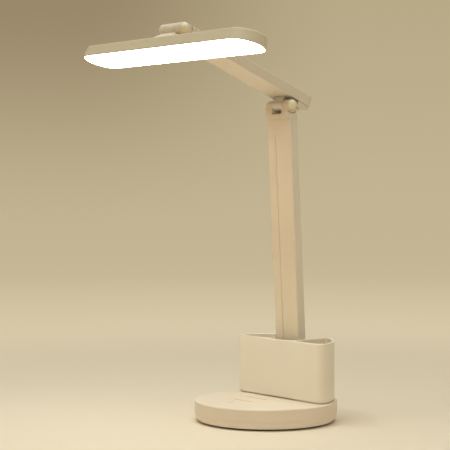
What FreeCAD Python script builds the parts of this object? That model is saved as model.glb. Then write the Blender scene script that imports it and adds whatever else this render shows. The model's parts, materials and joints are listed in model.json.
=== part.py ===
import FreeCAD, Part
import math
import os
import Sketcher

# Desk lamp with an open storage box on the rear of its round base.
# Millimetres, Z up, the lamp's front towards -Y, origin under the centre of the base.

document = FreeCAD.newDocument("DeskLamp")
sheet = document.addObject("Spreadsheet::Sheet", "Sizes")

pieces = []


# Sizes that know their formula

class Size:
    """A number together with the sheet formula that gives it."""

    def __init__(self, number, text):
        self.number = number
        self.text = text

    def __add__(self, other):
        return Size(self.number + number_of(other), "(%s + %s)" % (self.text, text_of(other)))

    def __radd__(self, other):
        return Size(number_of(other) + self.number, "(%s + %s)" % (text_of(other), self.text))

    def __sub__(self, other):
        return Size(self.number - number_of(other), "(%s - %s)" % (self.text, text_of(other)))

    def __rsub__(self, other):
        return Size(number_of(other) - self.number, "(%s - %s)" % (text_of(other), self.text))

    def __mul__(self, other):
        return Size(self.number * number_of(other), "(%s * %s)" % (self.text, text_of(other)))

    def __rmul__(self, other):
        return Size(number_of(other) * self.number, "(%s * %s)" % (text_of(other), self.text))

    def __truediv__(self, other):
        return Size(self.number / number_of(other), "(%s / %s)" % (self.text, text_of(other)))

    def __neg__(self):
        return Size(-self.number, "(0 - %s)" % self.text)


def number_of(value):
    return value.number if isinstance(value, Size) else value


def text_of(value):
    return value.text if isinstance(value, Size) else "(%r)" % value


def root(value):
    return Size(math.sqrt(value.number), "sqrt(%s)" % value.text)


def sine(angle):
    return Size(math.sin(math.radians(angle.number)), "sin(%s)" % angle.text)


def cosine(angle):
    return Size(math.cos(math.radians(angle.number)), "cos(%s)" % angle.text)


def size(name, number):
    """Write one driving dimension into the sheet."""
    size.row += 1
    cell = "A%d" % size.row
    sheet.set(cell, str(number))
    sheet.setAlias(cell, name)
    return Size(number, "Sizes." + name)


size.row = 0


# Base

base_radius = size("base_radius", 75.0)
base_height = size("base_height", 22.5)
base_foot_height = size("base_foot_height", 1.8)
base_top_round = size("base_top_round", 1.5)
base_tuck_radius = size("base_tuck_radius", 15.0)
base_tuck_level = size("base_tuck_level", 12.0)
base_wall = size("base_wall", 2.5)
cover_thickness = size("cover_thickness", 2.4)
cover_gap = size("cover_gap", 0.3)
ring_width = size("ring_width", 7.0)
ring_margin = size("ring_margin", 0.9)
ring_recess = size("ring_recess", 0.6)
centre_pad_radius = size("centre_pad_radius", 14.0)
weight_margin = size("weight_margin", 13.0)
weight_thickness = size("weight_thickness", 4.0)
boss_radius = size("boss_radius", 3.6)
boss_margin = size("boss_margin", 21.0)
boss_gap = size("boss_gap", 0.5)
battery_gap = size("battery_gap", 4.6)
battery_width = size("battery_width", 40.0)
battery_thickness = size("battery_thickness", 6.0)
battery_round = size("battery_round", 2.0)
battery_setback = size("battery_setback", 14.0)
board_width = size("board_width", 44.0)
board_thickness = size("board_thickness", 1.6)
board_drop = size("board_drop", 2.8)
board_pad_margin = size("board_pad_margin", 8.5)
board_post_radius = size("board_post_radius", 2.6)
board_post_margin = size("board_post_margin", 3.5)
touch_pad_radius = size("touch_pad_radius", 3.0)
mark_width = size("mark_width", 2.0)
mark_depth = size("mark_depth", 0.4)
mark_gap = size("mark_gap", 0.02)
socket_width = size("socket_width", 9.0)
socket_height = size("socket_height", 3.3)
socket_depth = size("socket_depth", 7.4)
socket_wall = size("socket_wall", 0.35)
socket_sink = size("socket_sink", 1.0)
socket_level = size("socket_level", 14.2)
socket_gap = size("socket_gap", 0.4)
tongue_thickness = size("tongue_thickness", 0.7)
charge_board_length = size("charge_board_length", 20.0)
charge_board_depth = size("charge_board_depth", 16.0)
charge_board_thickness = size("charge_board_thickness", 1.2)

# Left end, right end and setback of the three touch marks, as shares of the base's radius
mark_shares = (
    (-0.387, 0.08, 0.04),
    (-0.307, 0.107, 0.337),
    (-0.14, -0.004, 0.587),
)

# Screws

screw_radius = size("screw_radius", 1.3)
screw_head_radius = size("screw_head_radius", 2.5)
screw_head_height = size("screw_head_height", 1.2)
screw_socket_radius = size("screw_socket_radius", 1.2)
screw_socket_depth = size("screw_socket_depth", 0.7)
screw_gap = size("screw_gap", 0.1)
base_screw_grip = size("base_screw_grip", 8.0)
board_screw_grip = size("board_screw_grip", 2.4)
fork_screw_grip = size("fork_screw_grip", 7.0)
stem_screw_grip = size("stem_screw_grip", 3.6)
arm_screw_grip = size("arm_screw_grip", 3.0)
bracket_screw_grip = size("bracket_screw_grip", 5.0)

# Hinges

pin_radius = size("pin_radius", 2.0)
pin_gap = size("pin_gap", 0.05)
pin_end_gap = size("pin_end_gap", 0.6)
knuckle_half = size("knuckle_half", 7.1)
ear_gap = size("ear_gap", 0.6)
ear_round = size("ear_round", 0.6)
washer_inset = size("washer_inset", 0.3)
washer_gap = size("washer_gap", 0.05)
cap_radius = size("cap_radius", 5.2)
cap_side = size("cap_side", 0.8)
cap_height = size("cap_height", 4.3)
knuckle_radius = size("knuckle_radius", 6.1)
crescent_width = size("crescent_width", 1.2)
crescent_depth = size("crescent_depth", 1.8)

# Hinge at the stem's foot

foot_setback = size("foot_setback", 36.7)
foot_axis_height = size("foot_axis_height", 9.0)
foot_ear_radius = size("foot_ear_radius", 6.0)
foot_ear_spread = size("foot_ear_spread", 8.0)
foot_slot_depth = size("foot_slot_depth", 7.2)
foot_fork_width = size("foot_fork_width", 31.0)

# Stem

stem_length = size("stem_length", 301.1)
stem_lean_angle = size("stem_lean_angle", 3.07)
stem_width = size("stem_width", 36.6)
stem_depth = size("stem_depth", 10.8)
stem_axis_depth = size("stem_axis_depth", 4.4)
stem_joint = size("stem_joint", 1.0)
stem_wall = size("stem_wall", 1.6)
stem_corner = size("stem_corner", 1.2)
stem_foot_gap = size("stem_foot_gap", 1.2)
stem_start = size("stem_start", 14.0)
stem_seam = size("stem_seam", 15.0)
groove_width = size("groove_width", 0.8)
groove_depth = size("groove_depth", 0.6)
groove_offset = size("groove_offset", 5.5)
groove_top = size("groove_top", 31.0)
fitting_gap = size("fitting_gap", 0.15)
fitting_length = size("fitting_length", 16.0)
spine_width = size("spine_width", 14.0)
spine_thickness = size("spine_thickness", 1.5)
spine_offset = size("spine_offset", 1.1)
spine_grip = size("spine_grip", 12.0)
spine_gap = size("spine_gap", 0.1)
wire_radius = size("wire_radius", 0.9)
wire_offset = size("wire_offset", 1.4)
wire_gap = size("wire_gap", 0.3)
stem_screw_offset = size("stem_screw_offset", 11.5)

# Elbow

elbow_ear_radius = size("elbow_ear_radius", 5.5)
elbow_ear_spread = size("elbow_ear_spread", 6.6)
elbow_ear_drop = size("elbow_ear_drop", 11.0)
elbow_slot_depth = size("elbow_slot_depth", 9.0)
elbow_crescent = size("elbow_crescent", 8.4)
elbow_knuckle_radius = size("elbow_knuckle_radius", 5.5)
elbow_stop_gap = size("elbow_stop_gap", 0.7)
elbow_stop_wall = size("elbow_stop_wall", 1.8)

# Arm

arm_length = size("arm_length", 157.3)
arm_angle = size("arm_angle", 21.8)
arm_underside = size("arm_underside", 8.2)
arm_thickness = size("arm_thickness", 11.4)
arm_width = size("arm_width", 35.2)
arm_tail = size("arm_tail", 25.3)
arm_tail_corner = size("arm_tail_corner", 4.0)
arm_edge_round = size("arm_edge_round", 1.0)
arm_wall = size("arm_wall", 1.6)
arm_seam = size("arm_seam", 12.3)
neck_gap = size("neck_gap", 0.4)
neck_half = size("neck_half", 5.0)
flange_width = size("flange_width", 30.0)
flange_front = size("flange_front", 14.0)
flange_rear = size("flange_rear", 20.0)
flange_thickness = size("flange_thickness", 2.4)
tail_pad_front = size("tail_pad_front", 8.0)
tail_pad_inset = size("tail_pad_inset", 0.8)
tail_pad_side = size("tail_pad_side", 1.0)
tail_pad_drop = size("tail_pad_drop", 4.8)
tail_pad_round = size("tail_pad_round", 3.8)
tail_pad_edge = size("tail_pad_edge", 1.2)
arm_screw_offset = size("arm_screw_offset", 11.5)
arm_screw_margin = size("arm_screw_margin", 5.0)

# Hinge of the head

head_ear_slot = size("head_ear_slot", 9.0)
head_crescent = size("head_crescent", 9.2)
head_knuckle_radius = size("head_knuckle_radius", 5.6)
head_tilt_angle = size("head_tilt_angle", 16.5)

# Bracket on the head

bracket_half = size("bracket_half", 16.0)
bracket_bevel = size("bracket_bevel", 9.0)
bracket_neck_half = size("bracket_neck_half", 2.9)
bracket_ear_gap = size("bracket_ear_gap", 0.8)
ramp_front = size("ramp_front", 14.5)
ramp_top_front = size("ramp_top_front", 6.6)
ramp_top_drop = size("ramp_top_drop", 7.0)
bracket_rear = size("bracket_rear", 6.0)
bracket_rear_top = size("bracket_rear_top", 5.6)
bracket_swing_angle = size("bracket_swing_angle", 22.0)
bracket_screw_spread = size("bracket_screw_spread", 9.0)
bracket_screw_front = size("bracket_screw_front", 4.5)
bracket_screw_rear = size("bracket_screw_rear", 3.5)

# Lamp head

head_drop = size("head_drop", 14.6)
head_setback = size("head_setback", 1.5)
head_length = size("head_length", 276.4)
head_width = size("head_width", 42.4)
head_thickness = size("head_thickness", 12.0)
head_wall = size("head_wall", 1.4)
head_round = size("head_round", 1.6)
head_draft_angle = size("head_draft_angle", 9.0)
head_rim_round = size("head_rim_round", 0.5)
diffuser_gap = size("diffuser_gap", 0.15)
diffuser_thickness = size("diffuser_thickness", 1.8)
diffuser_recess = size("diffuser_recess", 0.3)
led_board_thickness = size("led_board_thickness", 1.2)
led_board_margin = size("led_board_margin", 1.2)
tray_rim = size("tray_rim", 5.0)
tray_gap = size("tray_gap", 0.1)
led_width = size("led_width", 3.0)
led_height = size("led_height", 0.8)
led_row_spread = size("led_row_spread", 8.0)
led_count = 18

# Storage box

box_margin = size("box_margin", 3.0)
box_front = size("box_front", 15.6)
box_top = size("box_top", 84.7)
box_foot_height = size("box_foot_height", 1.3)
box_foot_inset = size("box_foot_inset", 1.8)
box_wall = size("box_wall", 2.2)
box_floor = size("box_floor", 2.2)
box_corner = size("box_corner", 8.0)
box_rear_corner = size("box_rear_corner", 3.4)
box_inner_corner = size("box_inner_corner", 5.0)
box_notch = size("box_notch", 19.8)
box_notch_corner = size("box_notch_corner", 3.0)
box_edge_round = size("box_edge_round", 0.8)
box_corner_share = 0.5

overrun = size("overrun", 1.0)
slack_share = 1e-4

# Frames of the moving members, as an origin, a turning axis and an angle

ear_inner = knuckle_half + ear_gap
foot_axis_level = base_height + foot_axis_height
elbow_setback = foot_setback - stem_length * sine(stem_lean_angle)
elbow_level = foot_axis_level + stem_length * cosine(stem_lean_angle)
arm_middle = arm_underside + arm_thickness / 2
head_axis_setback = elbow_setback - arm_length * cosine(arm_angle) + arm_middle * sine(arm_angle)
head_axis_level = elbow_level + arm_length * sine(arm_angle) + arm_middle * cosine(arm_angle)
base_frame = ((0, 0, 0), (1, 0, 0), None)
stem_frame = ((0, foot_setback, foot_axis_level), (1, 0, 0), stem_lean_angle)
arm_frame = ((0, elbow_setback, elbow_level), (-1, 0, 0), arm_angle)
head_frame = ((0, head_axis_setback, head_axis_level), (-1, 0, 0), head_tilt_angle)

directions = {
    "x": ((1, 0, 0), FreeCAD.Rotation(FreeCAD.Vector(0, 1, 0), 90)),
    "y": ((0, 1, 0), FreeCAD.Rotation(FreeCAD.Vector(1, 0, 0), -90)),
    "-y": ((0, -1, 0), FreeCAD.Rotation(FreeCAD.Vector(1, 0, 0), 90)),
    "z": ((0, 0, 1), FreeCAD.Rotation()),
}


# Primitives and booleans

def bind(thing, name, value):
    """Give one property its size."""
    if isinstance(value, Size):
        thing.setExpression(name, value.text)
    else:
        setattr(thing, name, value)


def place(thing, origin, rotation=None):
    """Put a thing at an origin made of sizes."""
    start = FreeCAD.Vector(*[number_of(value) for value in origin])
    thing.Placement = FreeCAD.Placement(start, rotation or FreeCAD.Rotation())
    for name, value in zip("xyz", origin):
        if isinstance(value, Size):
            thing.setExpression("Placement.Base." + name, value.text)


def settle(thing, frame):
    """Put a finished piece into the frame of its moving member."""
    origin, axis, angle = frame
    if angle is None:
        place(thing, origin)
        return
    place(thing, origin, FreeCAD.Rotation(FreeCAD.Vector(*axis), angle.number))
    thing.setExpression("Placement.Rotation.Angle", angle.text)


def block(name, low, high):
    """A box between two corners."""
    thing = document.addObject("Part::Box", name)
    for side, start, end in zip(("Length", "Width", "Height"), low, high):
        bind(thing, side, end - start)
    place(thing, low)
    return thing


def rod(name, start, direction, radius, length):
    """A round rod that runs from start in one of the named directions."""
    thing = document.addObject("Part::Cylinder", name)
    bind(thing, "Radius", radius)
    bind(thing, "Height", length)
    place(thing, start, directions[direction][1])
    return thing


def moved(point, direction, amount):
    """A point moved by an amount in one of the named directions."""
    steps = directions[direction][0]
    return tuple(value + amount if step > 0 else value - amount if step < 0 else value
                 for value, step in zip(point, steps))


def joined(name, things):
    if len(things) == 1:
        return things[0]
    thing = document.addObject("Part::MultiFuse", name)
    thing.Shapes = things
    thing.Refine = True
    return thing


def cut(name, base, tools):
    thing = document.addObject("Part::Cut", name)
    thing.Base = base
    thing.Tool = joined(name + "_tools", tools)
    return thing


def group(name, things):
    thing = document.addObject("Part::Compound", name)
    thing.Links = things
    return thing


def finish(label, things, frame):
    """Register a finished piece under its label, in its frame."""
    thing = group(label + "_piece", things)
    thing.Label = label
    settle(thing, frame)
    pieces.append(thing)


# Sketched bodies

def new_body(name):
    return document.addObject("PartDesign::Body", name)


def on_plane(body, name, role, offset=None):
    """An empty sketch on one of the body's own planes."""
    sketch = body.newObject("Sketcher::SketchObject", name)
    plane = [item for item in body.Origin.OriginFeatures if item.Role == role][0]
    sketch.AttachmentSupport = [(plane, "")]
    sketch.MapMode = "FlatFace"
    if offset is not None:
        sketch.setExpression("AttachmentOffset.Base.z", offset.text)
    return sketch


def pin_point(sketch, edge, end, x, y):
    """Hold one end of an edge at its place."""
    for value, kind, axis in ((x, "DistanceX", -2), (y, "DistanceY", -1)):
        if isinstance(value, Size):
            row = sketch.addConstraint(Sketcher.Constraint(kind, -1, 1, edge, end, value.number))
            sketch.setExpression("Constraints[%d]" % row, value.text)
        else:
            sketch.addConstraint(Sketcher.Constraint("PointOnObject", edge, end, axis))


def hold_centre(sketch, edge, start, stop, x, y):
    """Hold an arc's centre by the one coordinate that its ends leave free."""
    if abs(stop.y - start.y) > abs(stop.x - start.x):
        value, kind, axis = x, "DistanceX", -2
    else:
        value, kind, axis = y, "DistanceY", -1
    if isinstance(value, Size):
        row = sketch.addConstraint(Sketcher.Constraint(kind, -1, 1, edge, 3, value.number))
        sketch.setExpression("Constraints[%d]" % row, value.text)
    else:
        sketch.addConstraint(Sketcher.Constraint("PointOnObject", edge, 3, axis))


def draw_loop(sketch, corners):
    """Draw a closed outline.

    A corner is (x, y), reached by a line, or (x, y, centre x, centre y, turn),
    reached by an arc that turns left for 1 and right for -1.
    """
    ends = []
    for index, corner in enumerate(corners):
        before = corners[index - 1]
        start = FreeCAD.Vector(number_of(before[0]), number_of(before[1]), 0)
        stop = FreeCAD.Vector(number_of(corner[0]), number_of(corner[1]), 0)
        if len(corner) == 2:
            edge = sketch.addGeometry(Part.LineSegment(start, stop), False)
            ends.append((edge, 1, 2))
            continue
        centre_x, centre_y, turn = corner[2:]
        centre = FreeCAD.Vector(number_of(centre_x), number_of(centre_y), 0)
        first, last = (start, stop) if turn > 0 else (stop, start)
        angles = [math.atan2(point.y - centre.y, point.x - centre.x) for point in (first, last)]
        if angles[1] <= angles[0]:
            angles[1] += 2 * math.pi
        circle = Part.Circle(centre, FreeCAD.Vector(0, 0, 1), start.distanceToPoint(centre))
        edge = sketch.addGeometry(Part.ArcOfCircle(circle, *angles), False)
        ends.append((edge, 1, 2) if turn > 0 else (edge, 2, 1))
        hold_centre(sketch, edge, start, stop, centre_x, centre_y)
    for index, corner in enumerate(corners):
        edge, start, stop = ends[index]
        after = ends[(index + 1) % len(ends)]
        sketch.addConstraint(Sketcher.Constraint("Coincident", edge, stop, after[0], after[1]))
        pin_point(sketch, edge, stop, corner[0], corner[1])


def pad(body, sketch, length, both_ways=False):
    feature = body.newObject("PartDesign::Pad", sketch.Name + "_pad")
    feature.Profile = sketch
    feature.Midplane = both_ways
    bind(feature, "Length", length)
    document.recompute()
    return feature


def pocket(body, sketch, depth):
    """Cut downwards from the sketch and make sure that it cuts."""
    document.recompute()
    before = body.Shape.Volume
    feature = body.newObject("PartDesign::Pocket", sketch.Name + "_pocket")
    feature.Profile = sketch
    bind(feature, "Length", depth)
    document.recompute()
    if body.Shape.Volume >= before:
        raise RuntimeError(sketch.Name + " cuts nothing")
    return feature


def revolve(body, sketch, axis):
    feature = body.newObject("PartDesign::Revolution", sketch.Name + "_revolution")
    feature.Profile = sketch
    feature.ReferenceAxis = (sketch, [axis])
    feature.Angle = 360
    document.recompute()
    return feature


def rounded(body, feature, radius, wanted):
    """Round the edges of a feature for which wanted says yes."""
    edges = ["Edge%d" % (index + 1) for index, edge in enumerate(feature.Shape.Edges) if wanted(edge)]
    fillet = body.newObject("PartDesign::Fillet", feature.Name + "_round")
    fillet.Base = (feature, edges)
    bind(fillet, "Radius", radius)
    document.recompute()
    return fillet


def at_level(axis, value):
    """A test for edges that lie wholly at one value of x, y or z."""
    level = number_of(value)
    lower, upper = axis.upper() + "Min", axis.upper() + "Max"
    slack = slack_share * base_radius.number

    def test(edge):
        box = edge.BoundBox
        return abs(getattr(box, lower) - level) < slack and abs(getattr(box, upper) - level) < slack
    return test


def on_side_faces(half_width):
    """A test for edges that lie on the left or the right face."""
    right, left = at_level("x", half_width), at_level("x", -half_width)
    return lambda edge: right(edge) or left(edge)


def prism(name, role, offset, corners, length, both_ways=False):
    """A body padded from one outline on one plane."""
    body = new_body(name)
    sketch = on_plane(body, name + "_outline", role, offset)
    draw_loop(sketch, corners)
    pad(body, sketch, length, both_ways)
    return body


def stadium_corners(length, width, setback):
    """A long outline with half-round ends, centred at a setback."""
    reach = length / 2 - width / 2
    radius = width / 2
    front = setback - radius
    rear = setback + radius
    return [
        (-reach, front, -reach, setback, 1),
        (reach, front),
        (reach, rear, reach, setback, 1),
        (-reach, rear),
    ]


def rounded_rectangle(left, right, low, high, radius):
    return [
        (left + radius, low, left + radius, low + radius, 1),
        (right - radius, low),
        (right, low + radius, right - radius, low + radius, 1),
        (right, high - radius),
        (right - radius, high, right - radius, high - radius, 1),
        (left + radius, high),
        (left, high - radius, left + radius, high - radius, 1),
        (left, low + radius),
    ]


# Screws

def screw(name, seat, direction, grip):
    """A round-headed screw with a six-sided socket, its head's outer face at the seat."""
    head = rod(name + "_head", seat, direction, screw_head_radius, screw_head_height)
    neck = moved(seat, direction, screw_head_height)
    shank = rod(name + "_shank", neck, direction, screw_radius, grip)
    socket = document.addObject("Part::Prism", name + "_socket")
    socket.Polygon = 6
    bind(socket, "Circumradius", screw_socket_radius)
    bind(socket, "Height", screw_socket_depth)
    place(socket, seat, directions[direction][1])
    return cut(name, joined(name + "_turned", [head, shank]), [socket])


def screw_hole(name, seat, direction, grip, head_room=None):
    """The room for a screw: a shank bore and, where wanted, a wider seat for the head."""
    start = moved(seat, direction, screw_head_height - overrun)
    bore = rod(name + "_bore", start, direction, screw_radius + screw_gap, grip + overrun * 2)
    if head_room is None:
        return [bore]
    outside = moved(seat, direction, -head_room)
    room = rod(name + "_room", outside, direction, screw_head_radius + screw_gap,
               head_room + screw_head_height)
    return [bore, room]


# Base

weight_radius = base_radius - weight_margin
boss_circle = base_radius - boss_margin
mark_spans = [tuple(base_radius * share for share in shares) for shares in mark_shares]
tuck_drop = base_tuck_level - base_foot_height
tuck_centre = base_radius - base_tuck_radius
tuck_inner_radius = base_tuck_radius - base_wall
mouth_outer = tuck_centre + root(base_tuck_radius * base_tuck_radius - tuck_drop * tuck_drop)
mouth_inner = tuck_centre + root(tuck_inner_radius * tuck_inner_radius - tuck_drop * tuck_drop)
base_ceiling = base_height - base_wall
cover_radius = mouth_inner - cover_gap
cover_top = base_foot_height + cover_thickness
ring_radius = cover_radius - ring_margin
weight_top = cover_top + weight_thickness
board_top = base_ceiling - board_drop
board_bottom = board_top - board_thickness
charge_board_top = socket_level - socket_height / 2
socket_face = base_radius - socket_sink
board_front = -(mark_spans[-1][2] + board_pad_margin)
board_rear = board_pad_margin - mark_spans[0][2]
board_x_places = (-(board_width / 2 - board_post_margin), board_width / 2 - board_post_margin)
board_y_places = (board_front + board_post_margin, board_rear - board_post_margin)
charge_x_places = (-(charge_board_length / 2 - board_post_margin),
                   charge_board_length / 2 - board_post_margin)
charge_post_y = socket_face - socket_depth - board_post_margin
base_screw_count = 4
fork_screw_offset = (ear_inner + foot_fork_width / 2) / 2


def base_screw_places():
    """Places of the base screws, spread evenly on their circle from a diagonal."""
    turn = 360 / base_screw_count
    for index in range(base_screw_count):
        angle = math.radians(turn / 2 + turn * index)
        yield boss_circle * math.cos(angle), boss_circle * math.sin(angle)


def board_post_places():
    for x in board_x_places:
        for y in board_y_places:
            yield x, y


def mark_outline(left, right, setback, gap):
    """A thin bar with round ends, narrowed by a gap all round."""
    radius = mark_width / 2 - gap
    start = left + mark_width / 2
    end = right - mark_width / 2
    return [
        (start, -setback - radius, start, -setback, 1),
        (end, -setback - radius),
        (end, -setback + radius, end, -setback, 1),
        (start, -setback + radius),
    ]


def make_base_shell():
    body = new_body("shell_turned")
    sketch = on_plane(body, "shell_profile", "XZ_Plane")
    draw_loop(sketch, [
        (0, base_height),
        (0, base_ceiling),
        (base_radius - base_wall, base_ceiling),
        (base_radius - base_wall, base_tuck_level),
        (mouth_inner, base_foot_height, tuck_centre, base_tuck_level, -1),
        (mouth_outer, base_foot_height),
        (base_radius, base_tuck_level, tuck_centre, base_tuck_level, 1),
        (base_radius, base_height - base_top_round),
        (base_radius - base_top_round, base_height,
         base_radius - base_top_round, base_height - base_top_round, 1),
    ])
    revolve(body, sketch, "V_Axis")
    solids = [body]
    for index, (x, y) in enumerate(base_screw_places()):
        solids.append(rod("shell_boss_%d" % index, (x, y, cover_top), "z", boss_radius,
                          base_ceiling - cover_top + base_wall / 2))
    for index, (x, y) in enumerate(board_post_places()):
        solids.append(rod("shell_post_%d" % index, (x, y, board_top), "z", board_post_radius,
                          board_drop + base_wall / 2))
    for index, x in enumerate(charge_x_places):
        solids.append(rod("shell_charge_post_%d" % index, (x, charge_post_y, charge_board_top), "z",
                          board_post_radius, base_ceiling - charge_board_top + base_wall / 2))
    tools = []
    for index, (x, y) in enumerate(base_screw_places()):
        seat = (x, y, base_foot_height)
        tools += screw_hole("shell_base_screw_%d" % index, seat, "z", base_screw_grip)
    for index, (x, y) in enumerate(board_post_places()):
        seat = (x, y, board_bottom - screw_head_height)
        tools += screw_hole("shell_board_screw_%d" % index, seat, "z", board_screw_grip)
    for index, x in enumerate(charge_x_places):
        seat = (x, charge_post_y, charge_board_top - charge_board_thickness - screw_head_height)
        tools += screw_hole("shell_charge_screw_%d" % index, seat, "z", board_screw_grip)
    for index, side in enumerate((-1, 1)):
        seat = (fork_screw_offset * side, foot_setback, base_ceiling - screw_head_height)
        tools += screw_hole("shell_fork_screw_%d" % index, seat, "z", fork_screw_grip)
    tools.append(rod("shell_wire_hole", (0, foot_setback, base_ceiling - overrun), "z",
                     wire_radius + wire_gap, base_wall + overrun * 2))
    tools.append(block("shell_socket_opening",
                       (-(socket_width / 2 + socket_gap), base_radius - base_wall * 2,
                        socket_level - socket_height / 2 - socket_gap),
                       (socket_width / 2 + socket_gap, base_radius + overrun,
                        socket_level + socket_height / 2 + socket_gap)))
    for index, (left, right, setback) in enumerate(mark_spans):
        tools.append(prism("shell_mark_%d" % index, "XY_Plane", base_height - mark_depth,
                           mark_outline(left, right, setback, 0), mark_depth + overrun))
    shell = cut("shell_cut", joined("shell_solids", solids), tools)
    finish("base_shell", [shell], base_frame)


def make_base_cover():
    disc = rod("cover_disc", (0, 0, base_foot_height), "z", cover_radius, cover_thickness)
    outer = rod("cover_ring_outer", (0, 0, base_foot_height - overrun), "z", ring_radius,
                ring_recess + overrun)
    inner = rod("cover_ring_inner", (0, 0, base_foot_height - overrun * 2), "z",
                ring_radius - ring_width, ring_recess + overrun * 3)
    centre = rod("cover_centre_seat", (0, 0, base_foot_height - overrun), "z", centre_pad_radius,
                 ring_recess + overrun)
    tools = [cut("cover_ring_seat", outer, [inner]), centre]
    for index, (x, y) in enumerate(base_screw_places()):
        tools += screw_hole("cover_screw_%d" % index, (x, y, base_foot_height), "z",
                            base_screw_grip, overrun)
    finish("base_cover", [cut("cover_cut", disc, tools)], base_frame)


def make_rubber_feet():
    """A rubber ring near the edge and a round pad in the middle, both let into the cover."""
    height = base_foot_height + ring_recess
    outer = rod("ring_outer", (0, 0, 0), "z", ring_radius, height)
    inner = rod("ring_inner", (0, 0, -overrun), "z", ring_radius - ring_width, height + overrun * 2)
    centre = rod("centre_pad", (0, 0, 0), "z", centre_pad_radius, height)
    finish("rubber_feet", [cut("ring_cut", outer, [inner]), centre], base_frame)


def make_counterweight():
    disc = rod("weight_disc", (0, 0, cover_top), "z", weight_radius, weight_thickness)
    tools = [rod("weight_hole_%d" % index, (x, y, cover_top - overrun), "z",
                 boss_radius + boss_gap, weight_thickness + overrun * 2)
             for index, (x, y) in enumerate(base_screw_places())]
    finish("counterweight", [cut("weight_cut", disc, tools)], base_frame)


def make_battery_pack():
    half_turn = math.radians(360 / base_screw_count / 2)
    half_length = boss_circle * math.cos(half_turn) - boss_radius - battery_gap
    outline = rounded_rectangle(-half_length, half_length,
                                -battery_setback - battery_width / 2,
                                -battery_setback + battery_width / 2, battery_round)
    body = prism("battery_body", "XY_Plane", weight_top, outline, battery_thickness)
    finish("battery_pack", [body], base_frame)


def make_control_board():
    board = block("board_plate",
                  (-board_width / 2, board_front, board_bottom),
                  (board_width / 2, board_rear, board_top))
    tools = []
    screws = []
    for index, (x, y) in enumerate(board_post_places()):
        seat = (x, y, board_bottom - screw_head_height)
        tools += screw_hole("board_hole_%d" % index, seat, "z", board_screw_grip)
        screws.append(screw("board_screw_%d" % index, seat, "z", board_screw_grip))
    finish("control_board", [cut("board_cut", board, tools)], base_frame)
    finish("board_screws", screws, base_frame)


def make_touch_marks():
    marks = []
    pads = []
    for index, (left, right, setback) in enumerate(mark_spans):
        marks.append(prism("mark_%d" % index, "XY_Plane", base_height - mark_depth,
                           mark_outline(left, right, setback, mark_gap), mark_depth))
        pads.append(rod("touch_pad_%d" % index, ((left + right) / 2, -setback, board_top), "z",
                        touch_pad_radius, board_drop))
    finish("touch_marks", marks, base_frame)
    finish("touch_pads", pads, base_frame)


def make_charging_socket():
    low = (-socket_width / 2, socket_face - socket_depth, socket_level - socket_height / 2)
    high = (socket_width / 2, socket_face, socket_level + socket_height / 2)
    outer = block("socket_outer", low, high)
    inner = block("socket_inner",
                  (low[0] + socket_wall, low[1] + socket_wall, low[2] + socket_wall),
                  (high[0] - socket_wall, high[1] + overrun, high[2] - socket_wall))
    tongue = block("socket_tongue",
                   (-socket_width / 4, low[1], socket_level - tongue_thickness / 2),
                   (socket_width / 4, socket_face - socket_sink, socket_level + tongue_thickness / 2))
    shell = cut("socket_shell", outer, [inner])
    finish("charging_socket", [joined("socket_joined", [shell, tongue])], base_frame)
    board = block("charge_plate",
                  (-charge_board_length / 2, socket_face - socket_sink - charge_board_depth,
                   charge_board_top - charge_board_thickness),
                  (charge_board_length / 2, base_radius - base_wall * 2, charge_board_top))
    tools = []
    screws = []
    for index, x in enumerate(charge_x_places):
        seat = (x, charge_post_y, charge_board_top - charge_board_thickness - screw_head_height)
        tools += screw_hole("charge_hole_%d" % index, seat, "z", board_screw_grip)
        screws.append(screw("charge_screw_%d" % index, seat, "z", board_screw_grip))
    finish("charge_board", [cut("charge_cut", board, tools)], base_frame)
    finish("charge_screws", screws, base_frame)


def make_base_screws():
    screws = [screw("base_screw_%d" % index, (x, y, base_foot_height), "z", base_screw_grip)
              for index, (x, y) in enumerate(base_screw_places())]
    finish("base_screws", screws, base_frame)


# Hinges

def tangent_point(x, y, radius):
    """Where a line from a point below touches the right side of a circle round the origin."""
    square = x * x + y * y
    reach = radius * root(square - radius * radius) / square
    share = radius * radius / square
    return x * share + y * reach, -(y * share) + x * reach


def ear_outline(radius, half_foot, drop, setback=0, level=0):
    """Round head on an axis that runs down, tangent, to a narrower or wider foot."""
    x, y = tangent_point(half_foot, drop, radius)
    return [
        (setback - half_foot, level - drop),
        (setback + half_foot, level - drop),
        (setback + x, level + y),
        (setback - x, level + y, setback, level, 1),
    ]


def pin_bore(name, setback, level, half_width):
    return rod(name, (-half_width - overrun, setback, level), "x", pin_radius + pin_gap,
               half_width * 2 + overrun * 2)


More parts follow.
